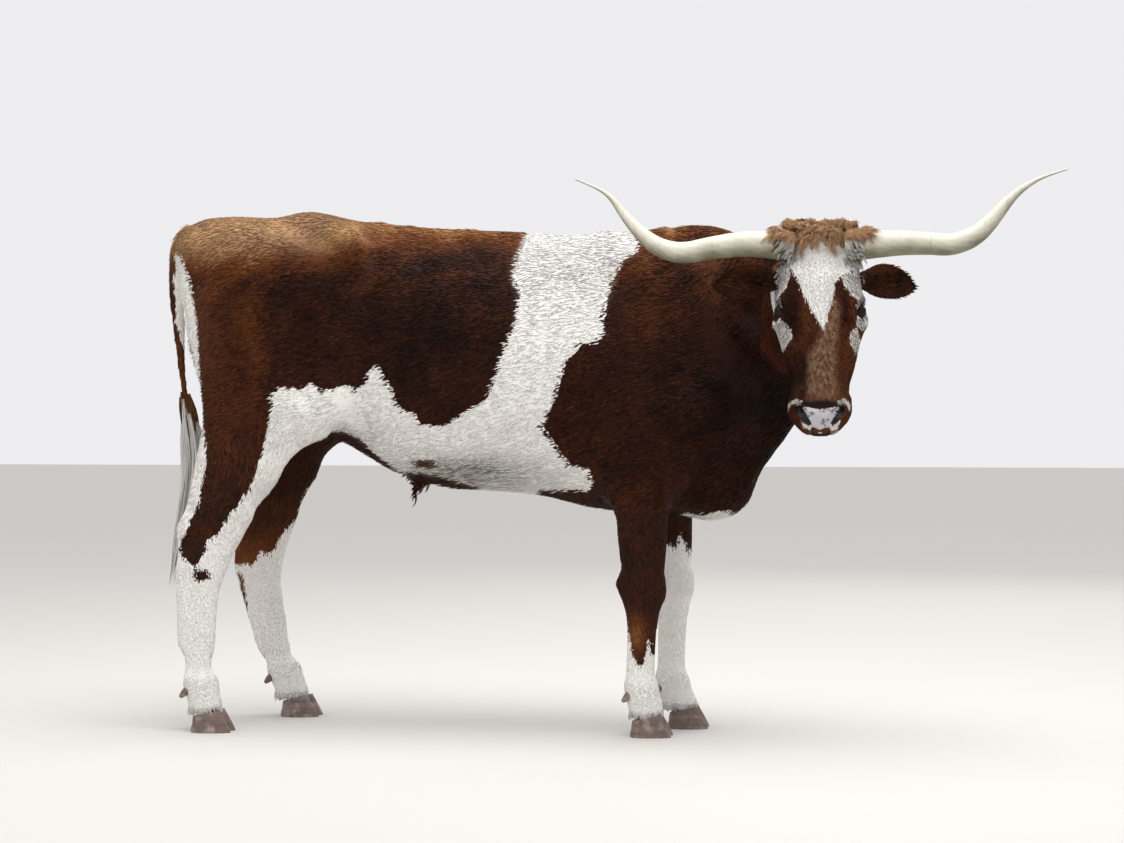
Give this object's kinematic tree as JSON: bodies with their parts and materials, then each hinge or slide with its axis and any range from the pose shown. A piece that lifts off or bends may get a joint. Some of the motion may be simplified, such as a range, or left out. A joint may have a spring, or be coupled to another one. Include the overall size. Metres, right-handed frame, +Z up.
{
  "type": "longhorn steer statue",
  "caption": "Standing steer with long upswept horns and head turned to one side, a life-size still figure for display.",
  "frame": {"origin": "middle of the bounding box on the ground under the animal", "axes": "+X forward along the body, +Y to the animal's left, +Z up"},
  "size_m": [2.4362, 0.8222, 1.468],
  "materials": {
    "coat": "short red-brown and white hair, matte with a slight sheen",
    "long_hair": "coarse long hair in locks",
    "horn": "ivory horn with fine growth lines, satin",
    "hoof": "grey-brown horn, dull",
    "eye": "dark and wet"
  },
  "bodies": {
    "root": {"torso": "coat", "sheath": "coat", "tail_dock": "coat", "tail_switch": "long_hair", "neck": "coat", "head": "coat", "horn_right": "horn", "ear_right": "coat", "eye_right": "eye", "horn_left": "horn", "ear_left": "coat", "eye_left": "eye", "hindleg_right_upper": "coat", "hindleg_right_lower": "coat", "hoof_hind_right_outer": "hoof", "dewclaw_hind_right_outer": "hoof", "hoof_hind_right_inner": "hoof", "dewclaw_hind_right_inner": "hoof", "hindleg_left_upper": "coat", "hindleg_left_lower": "coat", "hoof_hind_left_outer": "hoof", "dewclaw_hind_left_outer": "hoof", "hoof_hind_left_inner": "hoof", "dewclaw_hind_left_inner": "hoof", "foreleg_right_upper": "coat", "foreleg_right_lower": "coat", "hoof_fore_right_outer": "hoof", "dewclaw_fore_right_outer": "hoof", "hoof_fore_right_inner": "hoof", "dewclaw_fore_right_inner": "hoof", "foreleg_left_upper": "coat", "foreleg_left_lower": "coat", "hoof_fore_left_outer": "hoof", "dewclaw_fore_left_outer": "hoof", "hoof_fore_left_inner": "hoof", "dewclaw_fore_left_inner": "hoof"}
  },
  "joints": []
}
